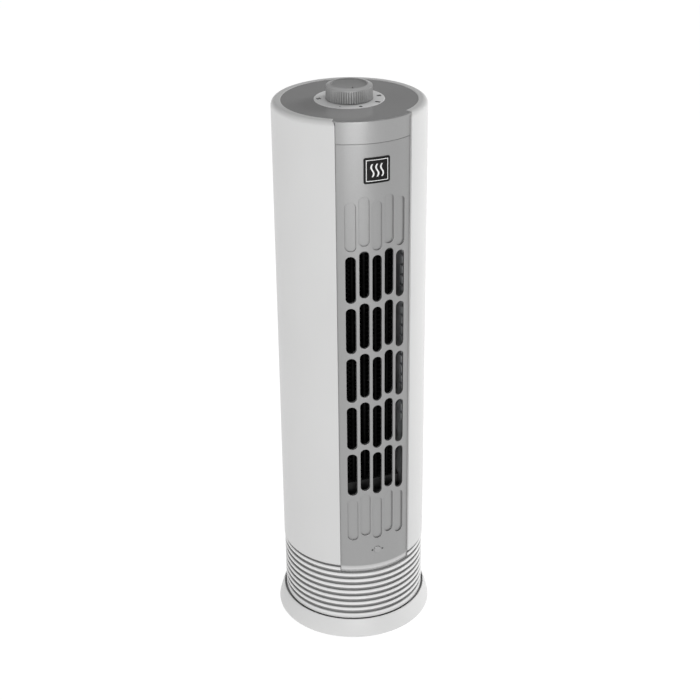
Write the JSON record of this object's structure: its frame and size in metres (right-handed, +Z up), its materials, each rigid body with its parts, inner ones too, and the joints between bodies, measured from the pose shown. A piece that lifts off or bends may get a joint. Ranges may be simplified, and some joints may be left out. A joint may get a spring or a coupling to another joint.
{
  "type": "tower fan convector heater",
  "caption": "Slim upright fan heater: round white casing, silver slotted front grille, top selector knob, ribbed lower section swinging on a flared round base.",
  "frame": {"origin": "on the floor under the tower's turning axis, at the bottom centre of the bounding box", "axes": "+Z up along the turning axis, -Y out of the front grille, +Y out of the rear grille and the mains lead's bush, +X towards the viewer's right when the front grille is faced"},
  "size_m": [0.1446, 0.1446, 0.5139],
  "materials": {
    "casing_white": "fine satin",
    "housing_white": "fine satin",
    "base_white": "fine satin",
    "plate_grey": "moulded",
    "grille_silver": "metallic lacquer",
    "cover_silver": "metallic lacquer",
    "disc_dark": "polished",
    "dial_grey": "satin",
    "knob_grey": "satin metallic",
    "badge_black": "polished",
    "button_silver": "metallic lacquer",
    "rubber_black": "matt",
    "plastic_black": "moulded",
    "nylon_natural": "moulded",
    "steel_bright": "plated",
    "steel_sheet": "zinc plated",
    "iron_dark": "coated",
    "aluminium_mill": "mill",
    "aluminium_dark": "dark coated",
    "bronze": "sintered",
    "copper_tape": "taped winding",
    "wire_black": "matt"
  },
  "bodies": {
    "base": {"base_shell": "base_white", "base_plate": "plate_grey", "rubber_feet": "rubber_black", "ballast_ring": "iron_dark", "glide_ring": "nylon_natural", "fixed_gear": "nylon_natural", "gear_screws": "steel_bright", "base_screws": "steel_bright", "cord_gland": "plastic_black", "gland_clip": "steel_bright", "tip_switch": "plastic_black"},
    "plunger": {"tip_plunger": "nylon_natural"},
    "fan": {"impeller": "aluminium_dark", "fan_axle": "steel_bright", "motor_rotor": "aluminium_mill", "motor_shaft": "steel_bright"},
    "selector": {"knob": "knob_grey", "switch_shaft": "steel_bright"},
    "pinion": {"osc_pinion": "nylon_natural"},
    "button": {"osc_button": "button_silver"},
    "tower": {"lower_housing": "housing_white", "rear_casing": "casing_white", "front_grille": "grille_silver", "rear_grille": "casing_white", "top_cover": "cover_silver", "control_disc": "disc_dark", "dial_ring": "dial_grey", "badge_plate": "badge_black", "duct_scroll_wall": "steel_sheet", "duct_tongue_wall": "steel_sheet", "duct_bottom_plate": "plastic_black", "duct_top_plate": "plastic_black", "bearing_bush": "bronze", "bearing_rubber": "rubber_black", "heater_bars": "aluminium_dark", "heater_sides": "aluminium_dark", "heater_fins": "aluminium_dark", "heater_frame_lower": "plastic_black", "heater_frame_upper": "plastic_black", "thermal_cutout": "plastic_black", "thermal_fuse": "steel_bright", "motor_stator": "iron_dark", "coil_bobbin": "nylon_natural", "coil_winding": "copper_tape", "motor_bracket_upper": "steel_sheet", "motor_bracket_lower": "steel_sheet", "motor_spacers": "steel_sheet", "motor_screws": "steel_bright", "osc_bracket": "steel_sheet", "osc_motor": "steel_sheet", "osc_screws": "steel_bright", "osc_switch": "plastic_black", "rotary_switch": "plastic_black", "switch_nut": "steel_bright", "terminal_block": "nylon_natural", "wiring": "wire_black", "casing_screws": "steel_bright"}
  },
  "joints": [
    {"name": "swing", "type": "hinge", "parent": "base", "child": "tower", "pos_m": [0, 0, 0], "axis": [0, 0, 1], "range_deg": [-35, 35]},
    {"name": "fan_spin", "type": "hinge", "parent": "tower", "child": "fan", "pos_m": [0, 0.012, 0.15], "axis": [0, 0, 1], "continuous": true},
    {"name": "selector_turn", "type": "hinge", "parent": "tower", "child": "selector", "pos_m": [0, 0, 0.5], "axis": [0, 0, 1], "range_deg": [-110, 85]},
    {"name": "pinion_spin", "type": "hinge", "parent": "tower", "child": "pinion", "pos_m": [0, -0.03, 0.022], "axis": [0, 0, 1], "range_deg": [-141, 141]},
    {"name": "button_push", "type": "slide", "parent": "tower", "child": "button", "axis": [0, 1, 0], "range_m": [0, 0.0012], "stiffness_N_per_m": 300, "springref_m": -0.002},
    {"name": "plunger_drop", "type": "slide", "parent": "base", "child": "plunger", "axis": [0, 0, 1], "range_m": [-0.0035, 0], "stiffness_N_per_m": 40, "springref_m": -0.0075}
  ],
  "couplings": [
    {"joint": "pinion_spin", "follows": "swing", "ratio": 4}
  ]
}
